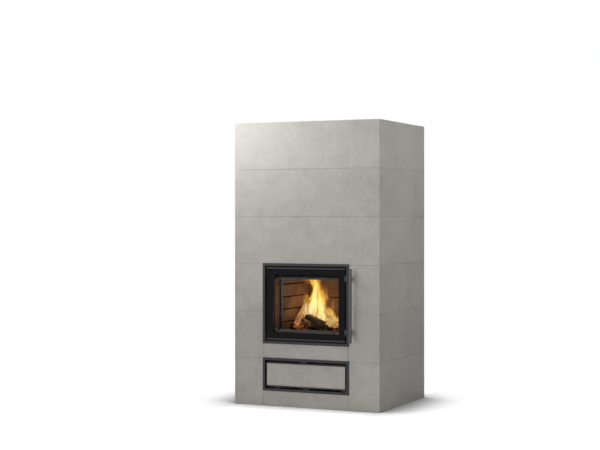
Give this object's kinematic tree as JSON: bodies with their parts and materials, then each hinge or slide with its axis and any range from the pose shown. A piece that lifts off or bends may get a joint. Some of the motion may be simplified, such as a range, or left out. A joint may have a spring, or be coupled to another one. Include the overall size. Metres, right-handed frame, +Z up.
{
  "type": "soapstone heater",
  "caption": "Tall square soapstone heater in stacked stone courses, with a glazed fire door, a long bar handle, a stone-fronted ash drawer, an air slide and a rear flue.",
  "frame": {"origin": "centre of the stone footprint on the floor", "axes": "+X to the right seen from the front, +Y to the back, +Z up; the fire door faces -Y"},
  "size_m": [0.84, 0.715, 1.512],
  "materials": {
    "soapstone": "honed soapstone",
    "core_stone": "cast refractory",
    "firebrick": "fired brick",
    "insulation": "mineral board",
    "dark_steel": "satin heat-proof paint",
    "handle_steel": "satin heat-proof paint",
    "cast_iron": "blackened",
    "bare_steel": "dull",
    "seal_rope": "glass-fibre rope",
    "door_glass": "clear ceramic glass with a black border"
  },
  "bodies": {
    "heater": {"front_slab_4": "soapstone", "front_slab_5": "soapstone", "front_slab_6": "soapstone", "front_left_block_1": "soapstone", "front_right_block_1": "soapstone", "front_left_block_2": "soapstone", "front_right_block_2": "soapstone", "front_left_block_3": "soapstone", "front_right_block_3": "soapstone", "base_front_block": "soapstone", "hearth_front_block": "soapstone", "left_side_stones": "soapstone", "right_side_stones": "soapstone", "back_stones": "soapstone", "back_flue_stone": "soapstone", "top_slab": "soapstone", "base_slab": "core_stone", "core_cap": "core_stone", "core_wall_left": "core_stone", "core_wall_right": "core_stone", "core_wall_back": "core_stone", "ash_pit_back": "core_stone", "hearth_block": "core_stone", "firebox_ceiling": "core_stone", "upper_front_wall": "core_stone", "mouth_jambs": "core_stone", "mouth_lintel": "core_stone", "left_firebricks": "firebrick", "right_firebricks": "firebrick", "back_firebricks": "firebrick", "hearth_tile": "firebrick", "insulation_board": "insulation", "door_frame": "dark_steel", "drawer_frame": "dark_steel", "air_register": "dark_steel", "grate": "cast_iron", "drawer_runners": "bare_steel", "flue_collar": "bare_steel", "hinge_pins": "bare_steel", "jamb_screws": "bare_steel", "spring_keepers": "bare_steel", "air_deflector": "bare_steel", "mouth_rope": "seal_rope"},
    "door": {"door_leaf": "cast_iron", "door_glass": "door_glass", "glass_tape": "seal_rope", "upper_glass_trim": "dark_steel", "lower_glass_trim": "dark_steel", "leaf_rope": "seal_rope", "log_guard": "bare_steel", "handle_pins": "bare_steel"},
    "handle": {"handle_bar": "handle_steel", "handle_arm_upper": "handle_steel", "handle_arm_lower": "handle_steel"},
    "drawer": {"drawer_tray": "dark_steel", "drawer_stone": "soapstone", "ash_box": "bare_steel"},
    "air_control": {"air_slide": "dark_steel"}
  },
  "joints": [
    {"name": "door_swing", "type": "hinge", "parent": "heater", "child": "door", "pos_m": [-0.23285, -0.338, 0.546], "axis": [0, 0, -1], "range_deg": [0, 110], "deforming": ["spring_keepers"]},
    {"name": "handle_pull", "type": "hinge", "parent": "door", "child": "handle", "pos_m": [0.23285, -0.338, 0.546], "axis": [0, 0, -1], "range_deg": [0, 20]},
    {"name": "ash_drawer_slide", "type": "slide", "parent": "heater", "child": "drawer", "axis": [0, -1, 0], "range_m": [0, 0.38]},
    {"name": "air_slide_shift", "type": "slide", "parent": "heater", "child": "air_control", "axis": [1, 0, 0], "range_m": [-0.027, 0.013]}
  ]
}
